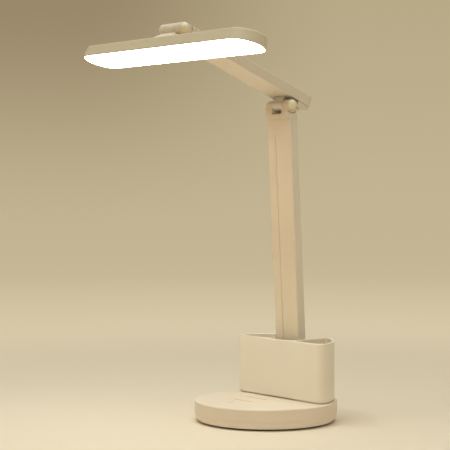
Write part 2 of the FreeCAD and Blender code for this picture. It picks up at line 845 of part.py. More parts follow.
def make_hinge_pin(name, setback, level, half_width, ear_radius, frame):
    """Pin, two washers beside the knuckle and a domed cap on each side."""
    length = half_width - pin_end_gap
    finish(name + "_pin", [rod(name + "_pin_rod", (-length, setback, level), "x", pin_radius,
                               length * 2)], frame)
    thickness = ear_gap - washer_gap * 2
    washers = []
    for index, start in enumerate((-ear_inner + washer_gap, knuckle_half + washer_gap)):
        disc = rod("%s_washer_disc_%d" % (name, index), (start, setback, level), "x",
                   ear_radius - washer_inset, thickness)
        bore = rod("%s_washer_bore_%d" % (name, index), (start - overrun, setback, level), "x",
                   pin_radius + pin_gap, thickness + overrun * 2)
        washers.append(cut("%s_washer_%d" % (name, index), disc, [bore]))
    finish(name + "_washers", washers, frame)
    rise = cap_height - cap_side
    dome = (cap_radius * cap_radius + rise * rise) / (rise * 2)
    caps = []
    for index, side in enumerate((1, -1)):
        body = new_body("%s_cap_%d" % (name, index))
        sketch = on_plane(body, "%s_cap_profile_%d" % (name, index), "XZ_Plane")
        draw_loop(sketch, [
            (half_width * side, 0),
            (half_width * side, cap_radius),
            ((half_width + cap_side) * side, cap_radius),
            ((half_width + cap_height) * side, 0,
             (half_width + cap_height - dome) * side, 0, -side),
        ])
        revolve(body, sketch, "H_Axis")
        place(body, (0, setback, level))
        caps.append(body)
    finish(name + "_caps", caps, frame)


def crescent(name, setback, level, radius, half_width):
    """Ring grooves round an axis on both outer faces."""
    rings = []
    for index, start in enumerate((-half_width - overrun, half_width - crescent_depth)):
        outer = rod("%s_outer_%d" % (name, index), (start, setback, level), "x",
                    radius + crescent_width / 2, crescent_depth + overrun)
        inner = rod("%s_inner_%d" % (name, index), (start - overrun, setback, level), "x",
                    radius - crescent_width / 2, crescent_depth + overrun * 3)
        rings.append(cut("%s_%d" % (name, index), outer, [inner]))
    return rings


def make_foot_fork():
    half = foot_fork_width / 2
    body = prism("foot_fork_body", "YZ_Plane", None,
                 ear_outline(foot_ear_radius, foot_ear_spread, foot_axis_height,
                             foot_setback, foot_axis_level), foot_fork_width, True)
    rounded(body, body.Tip, ear_round, lambda edge: on_side_faces(half)(edge)
            and not at_level("z", base_height)(edge))
    slot = block("foot_fork_slot",
                 (-ear_inner, foot_setback - foot_ear_spread - overrun, foot_axis_level - foot_slot_depth),
                 (ear_inner, foot_setback + foot_ear_spread + overrun,
                  foot_axis_level + foot_ear_radius + overrun))
    tools = [slot, pin_bore("foot_fork_bore", foot_setback, foot_axis_level, half)]
    tools.append(rod("foot_fork_wire_hole", (0, foot_setback, base_height - overrun), "z",
                     wire_radius + wire_gap, foot_axis_height + overrun))
    screws = []
    for index, side in enumerate((-1, 1)):
        seat = (fork_screw_offset * side, foot_setback, base_ceiling - screw_head_height)
        tools.append(rod("foot_fork_pilot_%d" % index,
                         (fork_screw_offset * side, foot_setback, base_height - overrun), "z",
                         screw_radius + screw_gap, fork_screw_grip - base_wall + overrun * 2))
        screws.append(screw("foot_fork_screw_%d" % index, seat, "z", fork_screw_grip))
    finish("foot_fork", [cut("foot_fork_cut", body, tools)], base_frame)
    finish("foot_fork_screws", screws, base_frame)
    make_hinge_pin("foot", foot_setback, foot_axis_level, half, foot_ear_radius, base_frame)


# Stem

stem_end = stem_length - stem_seam
stem_half = stem_width / 2
stem_front = -stem_axis_depth
stem_rear = stem_depth - stem_axis_depth
tongue_half = stem_half - stem_wall - fitting_gap
tongue_front = stem_front + stem_wall + fitting_gap
tongue_rear = stem_rear - stem_wall - fitting_gap
foot_block_start = foot_ear_radius + stem_foot_gap
stem_screw_levels = (stem_start + fitting_length / 2, stem_end - fitting_length / 2)


def stem_section(outer, joint, side):
    """Half of the hollow section: a channel whose outer face is rounded, open towards the joint."""
    half, wall, corner = stem_half, stem_wall, stem_corner
    face = outer - wall * side
    bend = outer - corner * side
    return [
        (-half, joint),
        (-half, bend),
        (-half + corner, outer, -half + corner, bend, -side),
        (half - corner, outer),
        (half, bend, half - corner, bend, -side),
        (half, joint),
        (half - wall, joint),
        (half - wall, face),
        (-half + wall, face),
        (-half + wall, joint),
    ]


def stem_screw_seats():
    for level in stem_screw_levels:
        for side in (-1, 1):
            yield (stem_screw_offset * side, stem_rear, level)


def make_stem_covers():
    length = stem_end - stem_start
    front = prism("stem_front_body", "XY_Plane", stem_start,
                  stem_section(stem_front, stem_joint, -1), length)
    groove = block("stem_groove",
                   (-groove_offset - groove_width / 2, stem_front - overrun, stem_start - overrun),
                   (-groove_offset + groove_width / 2, stem_front + groove_depth,
                    stem_length - groove_top))
    finish("stem_front_cover", [cut("stem_front_cut", front, [groove])], stem_frame)
    rear = prism("stem_rear_body", "XY_Plane", stem_start,
                 stem_section(stem_rear, stem_joint, 1), length)
    tools = []
    for index, seat in enumerate(stem_screw_seats()):
        tools += screw_hole("stem_rear_screw_%d" % index, seat, "-y", stem_screw_grip, overrun)
    finish("stem_rear_cover", [cut("stem_rear_cut", rear, tools)], stem_frame)


def make_stem_inside():
    start = stem_start + fitting_length - spine_grip
    end = stem_end - fitting_length + spine_grip
    spine = block("spine_strip",
                  (-spine_width / 2, -spine_offset - spine_thickness / 2, start),
                  (spine_width / 2, -spine_offset + spine_thickness / 2, end))
    finish("stem_spine", [spine], stem_frame)
    wire = rod("stem_wire_rod", (0, wire_offset, stem_start), "z", wire_radius, stem_end - stem_start)
    finish("stem_wire", [wire], stem_frame)
    screws = [screw("stem_screw_%d" % index, seat, "-y", stem_screw_grip)
              for index, seat in enumerate(stem_screw_seats())]
    finish("stem_screws", screws, stem_frame)


def fitting_tools(name, start, end):
    """Slot for the spine, hole for the wire and holes for the rear screws in a stem fitting."""
    slot = block(name + "_spine_slot",
                 (-spine_width / 2 - spine_gap, -spine_offset - spine_thickness / 2 - spine_gap, start),
                 (spine_width / 2 + spine_gap, -spine_offset + spine_thickness / 2 + spine_gap, end))
    return [slot]


def full_section(name, start, length):
    """A solid length of the stem's outer section."""
    outline = rounded_rectangle(-stem_half, stem_half, stem_front, stem_rear, stem_corner)
    return prism(name, "XY_Plane", start, outline, length)


def make_stem_foot():
    knuckle = rod("stem_foot_knuckle", (-knuckle_half, 0, 0), "x", knuckle_radius, knuckle_half * 2)
    neck = block("stem_foot_neck", (-knuckle_half, stem_front, 0),
                 (knuckle_half, stem_rear, foot_block_start + stem_wall))
    shoulder = full_section("stem_foot_shoulder", foot_block_start, stem_start - foot_block_start)
    tongue = block("stem_foot_tongue", (-tongue_half, tongue_front, stem_start - overrun),
                   (tongue_half, tongue_rear, stem_start + fitting_length))
    end = stem_start + fitting_length + overrun
    tools = fitting_tools("stem_foot", stem_start + fitting_length - spine_grip - spine_gap, end)
    tools.append(rod("stem_foot_wire_hole", (0, wire_offset, knuckle_radius), "z",
                     wire_radius + wire_gap, end))
    tools.append(pin_bore("stem_foot_bore", 0, 0, knuckle_half))
    for index, side in enumerate((-1, 1)):
        seat = (stem_screw_offset * side, stem_rear, stem_screw_levels[0])
        tools += screw_hole("stem_foot_screw_%d" % index, seat, "-y", stem_screw_grip)
    solid = joined("stem_foot_joined", [knuckle, neck, shoulder, tongue])
    finish("stem_foot", [cut("stem_foot_cut", solid, tools)], stem_frame)


def make_elbow_fork():
    base = [
        (stem_front, stem_end),
        (stem_rear, stem_end),
    ]
    ears = ear_outline(elbow_ear_radius, elbow_ear_spread, elbow_ear_drop, 0, stem_length)
    body = prism("elbow_fork_body", "YZ_Plane", None, base + ears[1:] + ears[:1], stem_width, True)
    rounded(body, body.Tip, ear_round, lambda edge: on_side_faces(stem_half)(edge)
            and not at_level("z", stem_end)(edge))
    tongue = block("elbow_fork_tongue", (-tongue_half, tongue_front, stem_end - fitting_length),
                   (tongue_half, tongue_rear, stem_end + overrun))
    slot = block("elbow_fork_slot",
                 (-ear_inner, -elbow_ear_spread - overrun,
                  stem_length - elbow_knuckle_radius - elbow_stop_gap),
                 (ear_inner, elbow_ear_spread + overrun, stem_length + elbow_ear_radius + overrun))
    recess = block("elbow_fork_recess",
                   (-ear_inner, -elbow_ear_spread - overrun, stem_length - elbow_slot_depth),
                   (ear_inner, stem_rear - elbow_stop_wall, stem_length))
    start = stem_end - fitting_length - overrun
    tools = [slot, recess, pin_bore("elbow_fork_bore", 0, stem_length, stem_half)]
    tools += fitting_tools("elbow_fork", start, stem_end - fitting_length + spine_grip + spine_gap)
    tools += crescent("elbow_crescent", 0, stem_length, elbow_crescent, stem_half)
    tools.append(rod("elbow_fork_wire_hole", (0, wire_offset, start), "z", wire_radius + wire_gap,
                     fitting_length + stem_seam))
    for index, side in enumerate((-1, 1)):
        seat = (stem_screw_offset * side, stem_rear, stem_screw_levels[1])
        tools += screw_hole("elbow_fork_screw_%d" % index, seat, "-y", stem_screw_grip)
    solid = joined("elbow_fork_joined", [body, tongue])
    finish("elbow_fork", [cut("elbow_fork_cut", solid, tools)], stem_frame)
    make_hinge_pin("elbow", 0, stem_length, stem_half, elbow_ear_radius, stem_frame)


# Arm

arm_half = arm_width / 2
arm_top = arm_underside + arm_thickness
arm_end = -(arm_length - arm_seam)
arm_inner_bottom = arm_underside + arm_wall
arm_inner_top = arm_top - arm_wall
arm_tongue_half = arm_half - arm_wall - fitting_gap
arm_tongue_end = arm_end + fitting_length
flange_level = arm_inner_bottom + flange_thickness
arm_screw_places = (flange_rear - arm_screw_margin, arm_tongue_end - arm_screw_margin)


def arm_outline(inset):
    """Plan of the arm with round corners at the tail, drawn in by an inset."""
    half = arm_half - inset
    tail = arm_tail - inset
    corner = arm_tail_corner - inset
    end = arm_end if inset == 0 else arm_end - overrun
    return [
        (-half, end),
        (half, end),
        (half, tail - corner),
        (half - corner, tail, half - corner, tail - corner, 1),
        (-half + corner, tail),
        (-half, tail - corner, -half + corner, tail - corner, 1),
    ]


def arm_screw_seats():
    for place_y in arm_screw_places:
        for side in (-1, 1):
            yield (arm_screw_offset * side, place_y, arm_underside)


def make_arm_covers():
    top = new_body("arm_top_body")
    sketch = on_plane(top, "arm_top_outline", "XY_Plane", arm_middle)
    draw_loop(sketch, arm_outline(0))
    feature = pad(top, sketch, arm_thickness / 2)
    rounded(top, feature, arm_edge_round, lambda edge: at_level("z", arm_top)(edge)
            and not at_level("y", arm_end)(edge))
    hollow = prism("arm_top_hollow", "XY_Plane", arm_middle - overrun, arm_outline(arm_wall),
                   arm_inner_top - arm_middle + overrun)
    finish("arm_top_cover", [cut("arm_top_cut", top, [hollow])], arm_frame)

    bottom = new_body("arm_bottom_body")
    sketch = on_plane(bottom, "arm_bottom_outline", "XY_Plane", arm_underside)
    draw_loop(sketch, arm_outline(0))
    feature = pad(bottom, sketch, arm_thickness / 2)
    rounded(bottom, feature, arm_edge_round, lambda edge: at_level("z", arm_underside)(edge)
            and not at_level("y", arm_end)(edge))
    hollow = prism("arm_bottom_hollow", "XY_Plane", arm_inner_bottom, arm_outline(arm_wall),
                   arm_middle - arm_inner_bottom + overrun)
    mouth = block("arm_bottom_mouth",
                  (-knuckle_half - neck_gap, -neck_half - neck_gap, arm_underside - overrun),
                  (knuckle_half + neck_gap, neck_half + neck_gap, arm_inner_bottom + overrun))
    tools = [hollow, mouth]
    for index, seat in enumerate(arm_screw_seats()):
        tools += screw_hole("arm_bottom_screw_%d" % index, seat, "z", arm_screw_grip, overrun)
    finish("arm_bottom_cover", [cut("arm_bottom_cut", bottom, tools)], arm_frame)


def make_arm_tail_pad():
    """Rounded pad under the arm's tail, level at the bottom while the arm is up."""
    rear = arm_tail - tail_pad_inset
    slope = sine(arm_angle) / cosine(arm_angle)
    drop = tail_pad_drop / cosine(arm_angle)
    front_level = tail_pad_front * slope - drop
    rear_level = rear * slope - drop
    half = arm_half - tail_pad_side
    body = new_body("tail_pad_body")
    sketch = on_plane(body, "tail_pad_outline", "YZ_Plane")
    draw_loop(sketch, [
        (tail_pad_front, arm_underside),
        (tail_pad_front, front_level),
        (rear, rear_level),
        (rear, arm_underside),
    ])
    feature = pad(body, sketch, half * 2, True)
    corners = rounded(body, feature, tail_pad_round, lambda edge: at_level("z", front_level)(edge)
                      or at_level("z", rear_level)(edge))
    rounded(body, corners, tail_pad_edge, lambda edge: on_side_faces(half)(edge)
            and not at_level("z", arm_underside)(edge))
    finish("arm_tail_pad", [body], arm_frame)


def make_arm_knuckle():
    knuckle = rod("arm_knuckle_round", (-knuckle_half, 0, 0), "x", elbow_knuckle_radius,
                  knuckle_half * 2)
    neck = block("arm_knuckle_neck", (-knuckle_half, -neck_half, 0),
                 (knuckle_half, neck_half, arm_inner_bottom + overrun))
    flange = block("arm_knuckle_flange", (-flange_width / 2, -flange_front, arm_inner_bottom),
                   (flange_width / 2, flange_rear, flange_level))
    tools = [pin_bore("arm_knuckle_bore", 0, 0, knuckle_half)]
    for index, side in enumerate((-1, 1)):
        seat = (arm_screw_offset * side, arm_screw_places[0], arm_underside)
        tools += screw_hole("arm_knuckle_screw_%d" % index, seat, "z", arm_screw_grip)
    solid = joined("arm_knuckle_joined", [knuckle, neck, flange])
    finish("arm_knuckle", [cut("arm_knuckle_cut", solid, tools)], arm_frame)


def make_arm_inside():
    start = -(flange_front + arm_screw_margin)
    wire = rod("arm_wire_rod", (0, arm_tongue_end - fitting_length, arm_middle), "y", wire_radius,
               start - arm_tongue_end + fitting_length)
    finish("arm_wire", [wire], arm_frame)
    screws = [screw("arm_screw_%d" % index, seat, "z", arm_screw_grip)
              for index, seat in enumerate(arm_screw_seats())]
    finish("arm_screws", screws, arm_frame)


def make_arm_fork():
    radius = arm_thickness / 2
    axis = -arm_length
    body = prism("arm_fork_body", "YZ_Plane", None, [
        (arm_end, arm_underside),
        (arm_end, arm_top),
        (axis, arm_top),
        (axis, arm_underside, axis, arm_middle, 1),
    ], arm_width, True)
    rounded(body, body.Tip, ear_round, lambda edge: on_side_faces(arm_half)(edge)
            and not at_level("y", arm_end)(edge))
    tongue = block("arm_fork_tongue",
                   (-arm_tongue_half, arm_end - overrun, arm_inner_bottom + fitting_gap),
                   (arm_tongue_half, arm_tongue_end, arm_inner_top - fitting_gap))
    slot = block("arm_fork_slot",
                 (-ear_inner, axis - radius - overrun, arm_underside - overrun),
                 (ear_inner, axis + head_ear_slot, arm_top + overrun))
    tools = [slot, pin_bore("arm_fork_bore", axis, arm_middle, arm_half)]
    tools += crescent("head_crescent", axis, arm_middle, head_crescent, arm_half)
    tools.append(rod("arm_fork_wire_hole", (0, axis, arm_middle), "y", wire_radius + wire_gap,
                     arm_seam + fitting_length + overrun))
    for index, side in enumerate((-1, 1)):
        seat = (arm_screw_offset * side, arm_screw_places[1], arm_underside)
        tools += screw_hole("arm_fork_screw_%d" % index, seat, "z", arm_screw_grip)
    solid = joined("arm_fork_joined", [body, tongue])
    finish("arm_fork", [cut("arm_fork_cut", solid, tools)], arm_frame)
    make_hinge_pin("head", axis, arm_middle, arm_half, radius, arm_frame)


# Lamp head

head_underside = -head_drop - head_thickness
head_ceiling = -head_drop - head_wall
led_board_bottom = head_ceiling - led_board_thickness
diffuser_top = head_underside + diffuser_recess + diffuser_thickness
head_draft = sine(head_draft_angle) / cosine(head_draft_angle)


def head_plan(inset, level):
    """Outline of the drafted head at a level, drawn in by an inset."""
    lean = (level - head_underside) * head_draft
    return stadium_corners(head_length - (inset + lean) * 2, head_width - (inset + lean) * 2,
                           head_setback)


def head_slice(name, inset, bottom, top):
    """A body between two levels of the head whose sides lean in with it."""
    body = new_body(name)
    sketch = on_plane(body, name + "_outline", "XY_Plane", bottom)
    draw_loop(sketch, head_plan(inset, bottom))
    feature = body.newObject("PartDesign::Pad", name + "_pad")
    feature.Profile = sketch
    bind(feature, "Length", top - bottom)
    bind(feature, "TaperAngle", -head_draft_angle)
    document.recompute()
    return body


def bracket_screw_seats():
    for x in (-bracket_screw_spread, bracket_screw_spread):
        for y in (-bracket_screw_front, bracket_screw_rear):
            yield (x, y, head_ceiling - screw_head_height)


def make_head_bracket():
    """Wedge on the head whose sides lean in, with a knuckle on a neck above it."""
    outline = [
        (-ramp_front, -head_drop),
        (bracket_rear, -head_drop),
        (bracket_rear_top, -ramp_top_drop),
        (-ramp_top_front, -ramp_top_drop),
    ]
    ramp = prism("bracket_ramp", "YZ_Plane", None, outline, bracket_half * 2, True)
    knuckle = rod("bracket_knuckle", (-knuckle_half, 0, 0), "x", head_knuckle_radius, knuckle_half * 2)
    neck = block("bracket_neck", (-knuckle_half, -bracket_neck_half, -ramp_top_drop - overrun),
                 (knuckle_half, bracket_neck_half, 0))
    reach = arm_thickness / 2 + bracket_ear_gap
    across, along = reach * sine(bracket_swing_angle), reach * cosine(bracket_swing_angle)
    run, fall = head_width * cosine(bracket_swing_angle), head_width * sine(bracket_swing_angle)
    carvings = []
    for side, name in ((1, "right"), (-1, "left")):
        start = knuckle_half if side > 0 else -bracket_half - overrun
        carvings.append(prism("bracket_arm_room_" + name, "YZ_Plane", start, [
            (-across, -along),
            (run - across, -along - fall),
            (run + across, along - fall),
            (across, along),
        ], bracket_half + overrun - knuckle_half))
        carvings.append(prism("bracket_bevel_" + name, "XZ_Plane", -(bracket_rear + overrun), [
            ((bracket_half + overrun) * side, -head_drop),
            (bracket_half * side, -head_drop),
            ((bracket_half - bracket_bevel) * side, 0),
            ((bracket_half + overrun) * side, 0),
        ], bracket_rear + ramp_front + overrun * 2))
    carved = cut("bracket_carved", ramp, carvings)
    tools = [pin_bore("bracket_bore", 0, 0, knuckle_half)]
    for index, seat in enumerate(bracket_screw_seats()):
        tools += screw_hole("bracket_hole_%d" % index, seat, "z", bracket_screw_grip)
    solid = joined("bracket_joined", [carved, neck, knuckle])
    finish("head_bracket", [cut("bracket_cut", solid, tools)], head_frame)
    screws = [screw("bracket_screw_%d" % index, seat, "z", bracket_screw_grip)
              for index, seat in enumerate(bracket_screw_seats())]
    finish("bracket_screws", screws, head_frame)


def make_head_shell():
    body = head_slice("head_body", 0, head_underside, -head_drop)
    top = rounded(body, body.Tip, head_round, at_level("z", -head_drop))
    rounded(body, top, head_rim_round, at_level("z", head_underside))
    tools = [head_slice("head_hollow", head_wall, head_underside - overrun, head_ceiling)]
    for index, seat in enumerate(bracket_screw_seats()):
        tools += screw_hole("head_hole_%d" % index, seat, "z", bracket_screw_grip)
    finish("head_shell", [cut("head_cut", body, tools)], head_frame)


def make_diffuser():
    body = head_slice("diffuser_body", head_wall + diffuser_gap, head_underside + diffuser_recess,
                      diffuser_top)
    finish("diffuser", [body], head_frame)


def make_reflector_tray():
    bottom = diffuser_top + tray_gap
    top = led_board_bottom - tray_gap
    outer = head_slice("tray_outer", head_wall + tray_gap, bottom, top)
    inner = head_slice("tray_inner", head_wall + tray_rim, bottom - overrun, top + overrun)
    finish("reflector_tray", [cut("tray_cut", outer, [inner])], head_frame)


def make_led_board():
    board = prism("led_board_body", "XY_Plane", led_board_bottom,
                  head_plan(head_wall + led_board_margin, head_ceiling), led_board_thickness)
    tools = [rod("led_board_hole_%d" % index, (x, y, led_board_bottom - overrun), "z",
                 screw_head_radius + boss_gap, led_board_thickness + overrun * 2)
             for index, (x, y, z) in enumerate(bracket_screw_seats())]
    finish("led_board", [cut("led_board_cut", board, tools)], head_frame)
    run = head_length - (head_wall + tray_rim * 2) * 2
    chips = []
    for index in range(led_count):
        along = run * ((index + 0.5) / led_count - 0.5)
        for side in (-1, 1):
            across = head_setback + (led_row_spread + led_width) * side
            chips.append(block("led_%d_%d" % (index, side),
                               (along - led_width / 2, across - led_width / 2,
                                led_board_bottom - led_height),
                               (along + led_width / 2, across + led_width / 2, led_board_bottom)))
    finish("leds", chips, head_frame)


# Storage box

box_radius = base_radius - box_margin


def circle_corner(offset, radius, big):
    """A corner arc between a straight side at an offset and a big circle round the origin.

    Gives the arc centre's distance along the side and the touching point as (along, across).
    """
    along = root((big - radius) * (big - radius) - (offset + radius) * (offset + radius))
    stretch = big / (big - radius)
    return along, along * stretch, (offset + radius) * stretch


def box_outline():
    """Plan of the box: a D with a channel for the stem that is open to the rear."""
    front_along, front_x, front_y = circle_corner(box_front, box_corner, box_radius)
    rear_along, rear_y, rear_x = circle_corner(box_notch, box_rear_corner, box_radius)
    inner = box_front + box_wall
    corner, rear, bend = box_corner, box_rear_corner, box_notch_corner
    return [
        (-front_along, box_front, -front_along, box_front + corner, 1),
        (front_along, box_front),
        (front_x, front_y, front_along, box_front + corner, 1),
        (rear_x, rear_y, 0, 0, 1),
        (box_notch, rear_along, box_notch + rear, rear_along, 1),
        (box_notch, inner + bend),
        (box_notch - bend, inner, box_notch - bend, inner + bend, -1),
        (-box_notch + bend, inner),
        (-box_notch, inner + bend, -box_notch + bend, inner + bend, -1),
        (-box_notch, rear_along),
        (-rear_x, rear_y, -box_notch - rear, rear_along, 1),
        (-front_x, front_y, 0, 0, 1),
    ]


def compartment_outline(side, inset, corner):
    """Plan of one compartment, drawn in from the box's outside by an inset."""
    big = box_radius - inset
    front = box_front + inset
    near = box_notch + inset
    front_corner = box_corner - inset
    rear_corner = box_rear_corner - inset * box_corner_share
    front_along, front_x, front_y = circle_corner(front, front_corner, big)
    rear_along, rear_y, rear_x = circle_corner(near, rear_corner, big)
    corners = [
        (near + corner, front, near + corner, front + corner, 1),
        (front_along, front),
        (front_x, front_y, front_along, front + front_corner, 1),
        (rear_x, rear_y, 0, 0, 1),
        (near, rear_along, near + rear_corner, rear_along, 1),
        (near, front + corner),
    ]
    if side > 0:
        return corners
    return [flipped(corner) for corner in corners]


def flipped(corner):
    """A corner mirrored in the plane x = 0."""
    if len(corner) == 2:
        return (-corner[0], corner[1])
    x, y, centre_x, centre_y, turn = corner
    return (-x, y, -centre_x if isinstance(centre_x, Size) else centre_x, centre_y, -turn)


def make_storage_box():
    body = new_body("box_body")
    bottom = base_height + box_foot_height
    sketch = on_plane(body, "box_outline", "XY_Plane", bottom)
    draw_loop(sketch, box_outline())
    feature = pad(body, sketch, box_top - bottom)
    for side, name in ((1, "right"), (-1, "left")):
        sketch = on_plane(body, "box_hollow_" + name, "XY_Plane", box_top)
        draw_loop(sketch, compartment_outline(side, box_wall, box_inner_corner))
        feature = pocket(body, sketch, box_top - bottom - box_floor)
    edges = rounded(body, feature, box_edge_round, at_level("z", box_top))
    rounded(body, edges, box_edge_round, at_level("z", bottom))
    feet = [prism("box_foot_" + name, "XY_Plane", base_height,
                  compartment_outline(side, box_foot_inset, box_inner_corner),
                  box_foot_height + box_floor / 2)
            for side, name in ((1, "right"), (-1, "left"))]
    finish("storage_box", [joined("box_joined", [body] + feet)], base_frame)


# The whole lamp

make_base_shell()
make_base_cover()
make_rubber_feet()
make_counterweight()
make_battery_pack()
make_control_board()
make_touch_marks()
make_charging_socket()
make_base_screws()
make_foot_fork()
make_stem_foot()
make_stem_covers()
make_stem_inside()
make_elbow_fork()
make_arm_knuckle()
make_arm_tail_pad()
make_arm_covers()
make_arm_inside()
make_arm_fork()
make_head_bracket()
make_head_shell()
make_diffuser()
make_reflector_tray()
make_led_board()
make_storage_box()

document.recompute()

for thing in document.Objects:
    if "Invalid" in thing.State or "Error" in thing.State:
        raise RuntimeError("%s is %s" % (thing.Name, thing.State))
for piece in pieces:
    if piece.Shape.isNull() or not piece.Shape.isValid() or not piece.Shape.Solids:
        raise RuntimeError("%s has no valid solid" % piece.Label)

os.makedirs("parts", exist_ok=True)
for piece in pieces:
    piece.Shape.exportStep("parts/%s.step" % piece.Label)
    print(piece.Label, len(piece.Shape.Solids), round(piece.Shape.Volume, 1))
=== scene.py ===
import json
import math

import bmesh
import bpy
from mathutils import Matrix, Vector

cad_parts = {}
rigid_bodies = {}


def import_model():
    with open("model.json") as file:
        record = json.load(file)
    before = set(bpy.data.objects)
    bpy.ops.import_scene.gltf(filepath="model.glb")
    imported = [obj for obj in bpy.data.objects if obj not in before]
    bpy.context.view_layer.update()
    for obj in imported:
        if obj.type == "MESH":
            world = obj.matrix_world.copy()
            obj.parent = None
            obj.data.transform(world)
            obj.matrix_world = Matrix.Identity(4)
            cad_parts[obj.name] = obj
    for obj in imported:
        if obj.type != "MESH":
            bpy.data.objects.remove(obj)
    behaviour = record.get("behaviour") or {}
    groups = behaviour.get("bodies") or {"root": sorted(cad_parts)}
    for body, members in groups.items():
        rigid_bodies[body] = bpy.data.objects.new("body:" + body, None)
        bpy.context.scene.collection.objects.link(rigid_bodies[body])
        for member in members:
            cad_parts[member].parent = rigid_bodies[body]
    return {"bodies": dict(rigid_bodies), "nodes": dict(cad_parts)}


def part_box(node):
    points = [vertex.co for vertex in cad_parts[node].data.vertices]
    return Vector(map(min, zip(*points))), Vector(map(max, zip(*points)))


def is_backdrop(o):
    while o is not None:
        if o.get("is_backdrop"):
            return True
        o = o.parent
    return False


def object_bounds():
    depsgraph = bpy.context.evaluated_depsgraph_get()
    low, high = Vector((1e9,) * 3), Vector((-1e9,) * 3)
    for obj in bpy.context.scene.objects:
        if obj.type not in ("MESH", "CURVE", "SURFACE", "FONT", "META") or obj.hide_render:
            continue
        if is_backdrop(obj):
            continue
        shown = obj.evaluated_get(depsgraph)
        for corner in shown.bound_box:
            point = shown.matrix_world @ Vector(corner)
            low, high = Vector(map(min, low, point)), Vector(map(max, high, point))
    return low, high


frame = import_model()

bl_info = {
    "name": "Desk lamp with a storage box",
    "version": (1, 0, 0),
    "blender": (4, 5, 0),
    "location": "3D View > Sidebar > Desk lamp",
    "description": "Finishes, stage and camera of a desk lamp with a storage box on its base",
    "category": "Object",
}


def swatch(red, green, blue):
    """Return a colour that is written in the levels of a swatch, from 0 to 255."""
    levels = [level / 255 for level in (red, green, blue)]
    return tuple(
        level / 12.92 if level <= 0.04045 else ((level + 0.055) / 1.055) ** 2.4
        for level in levels)


def shade(colour, share):
    """Return a lighter or darker colour of the same kind."""
    return tuple(min(1.0, level * share) for level in colour)


def colour_property(title, words, default):
    return bpy.props.FloatVectorProperty(
        name=title, description=words, subtype="COLOR", size=3, min=0.0, max=1.0, default=default)


def length_property(title, words, default):
    return bpy.props.FloatProperty(
        name=title, description=words, subtype="DISTANCE", unit="LENGTH", min=0.0, default=default,
        precision=6)


def share_property(title, words, default):
    return bpy.props.FloatProperty(
        name=title, description=words, subtype="FACTOR", min=0.0, max=1.0, default=default)


def place_property(title, words, default):
    return bpy.props.FloatVectorProperty(
        name=title, description=words, subtype="TRANSLATION", unit="LENGTH", size=3, default=default)


MATERIAL_COLOURS = {
    "tray": (swatch(236, 236, 232), swatch(248, 248, 246)),
    "nylon": (swatch(214, 210, 196), swatch(238, 235, 224)),
    "sleeve": (swatch(238, 237, 232), swatch(205, 202, 192)),
    "film": (swatch(88, 104, 122), swatch(120, 138, 156)),
    "tape": swatch(206, 158, 70),
    "board": (swatch(26, 84, 52), swatch(34, 100, 62)),
    "track": swatch(92, 148, 84),
    "phosphor": (swatch(238, 214, 110), swatch(250, 236, 160)),
    "chip_glow": swatch(255, 244, 214),
    "rubber": (swatch(52, 49, 46), swatch(86, 82, 76)),
    "panel": swatch(240, 238, 230),
    "steel": swatch(176, 176, 172),
    "screw": swatch(150, 150, 150),
    "aluminium": swatch(206, 207, 208),
}


class LampFinishes(bpy.types.PropertyGroup):
    """Colours and surface of the lamp's parts"""

    base_colour: colour_property("Base", "Plastic of the round base", swatch(231, 215, 186))
    # Painted light: the base's upright side and its tuck-in take lighter colours by the way their faces look,
    # in place of the light that falls on them.
    painted_side_colour: colour_property("Base side", "Tint of the base's side", swatch(236, 218, 190))
    painted_tuck_colour: colour_property(
        "Base tuck", "Tint of the base's side where it tucks in", swatch(252, 241, 228))
    shell_colour: colour_property("Shell", "Plastic of the stem and the arm", swatch(230, 216, 186))
    head_colour: colour_property("Head", "Plastic of the head and its bracket", swatch(217, 202, 165))
    # Painted shade: forward faces of the stem take a darker, pinker colour, partly the front cover's own tone
    # and partly painted shade, chosen by face direction. Those low on the stem take a paler one, painted
    # light that makes up for the light the box and base keep off.
    painted_stem_front_colour: colour_property(
        "Stem face", "Tint of the faces that look forward on the stem", swatch(221, 198, 163))
    painted_stem_low_colour: colour_property(
        "Stem foot", "Tint of the faces that look forward low on the stem", swatch(235, 216, 181))
    # Painted light: downward faces of the arm's lower cover and knuckle take this paler colour in place of
    # the light that reaches them.
    painted_underside_colour: colour_property("Arm underside", "Plastic of the arm's lower cover", swatch(236, 222, 202))
    box_colour: colour_property("Storage box", "Plastic of the storage box", swatch(245, 231, 203))
    cap_colour: colour_property(
        "Hinge caps", "Plastic of the round caps on the hinges", swatch(240, 225, 184))
    mark_colour: colour_property("Touch marks", "Ink of the marks on the base", swatch(188, 156, 112))
    light_colour: colour_property("Light", "Light that leaves the diffuser", swatch(244, 249, 255))
    light_level: bpy.props.FloatProperty(
        name="Light level", description="Strength of the light, where 1 is white", min=0.0, default=17.0)
    panel_half_width: length_property("Panel half width", "Half the width of the lit panel", 0.0198)
    panel_tilt: bpy.props.FloatProperty(
        name="Panel tilt", description="Tilt of the lit panel at rest", subtype="ANGLE", unit="ROTATION",
        default=math.radians(16.5))
    gloss: share_property("Roughness", "Roughness of the plastic", 0.46)
    cloud_width: length_property("Cloud width", "Width of the clouds that the plastic's flow left", 0.05)
    fleck_width: length_property("Fleck width", "Width of the fine flecks", 0.0035)
    grain_width: length_property("Grain width", "Width of the mould's fine grain", 0.00045)
    grain_depth: length_property("Grain depth", "Depth of the mould's fine grain", 0.000008)
    edge_round: length_property("Edge rounding", "Rounding that light finds on every edge", 0.0004)
    wear: share_property("Edge wear", "How far handled edges are polished pale", 0.35)
    # Corners are darkened partly as dirt and partly as painted shade. The two values below set how far, and
    # to what level.
    dust_and_shade: share_property("Dust", "How far the corners are dulled", 0.14)
    soil_and_shade: share_property("Soil", "Level of the dulled corners, as a share of the plastic's own", 0.72)


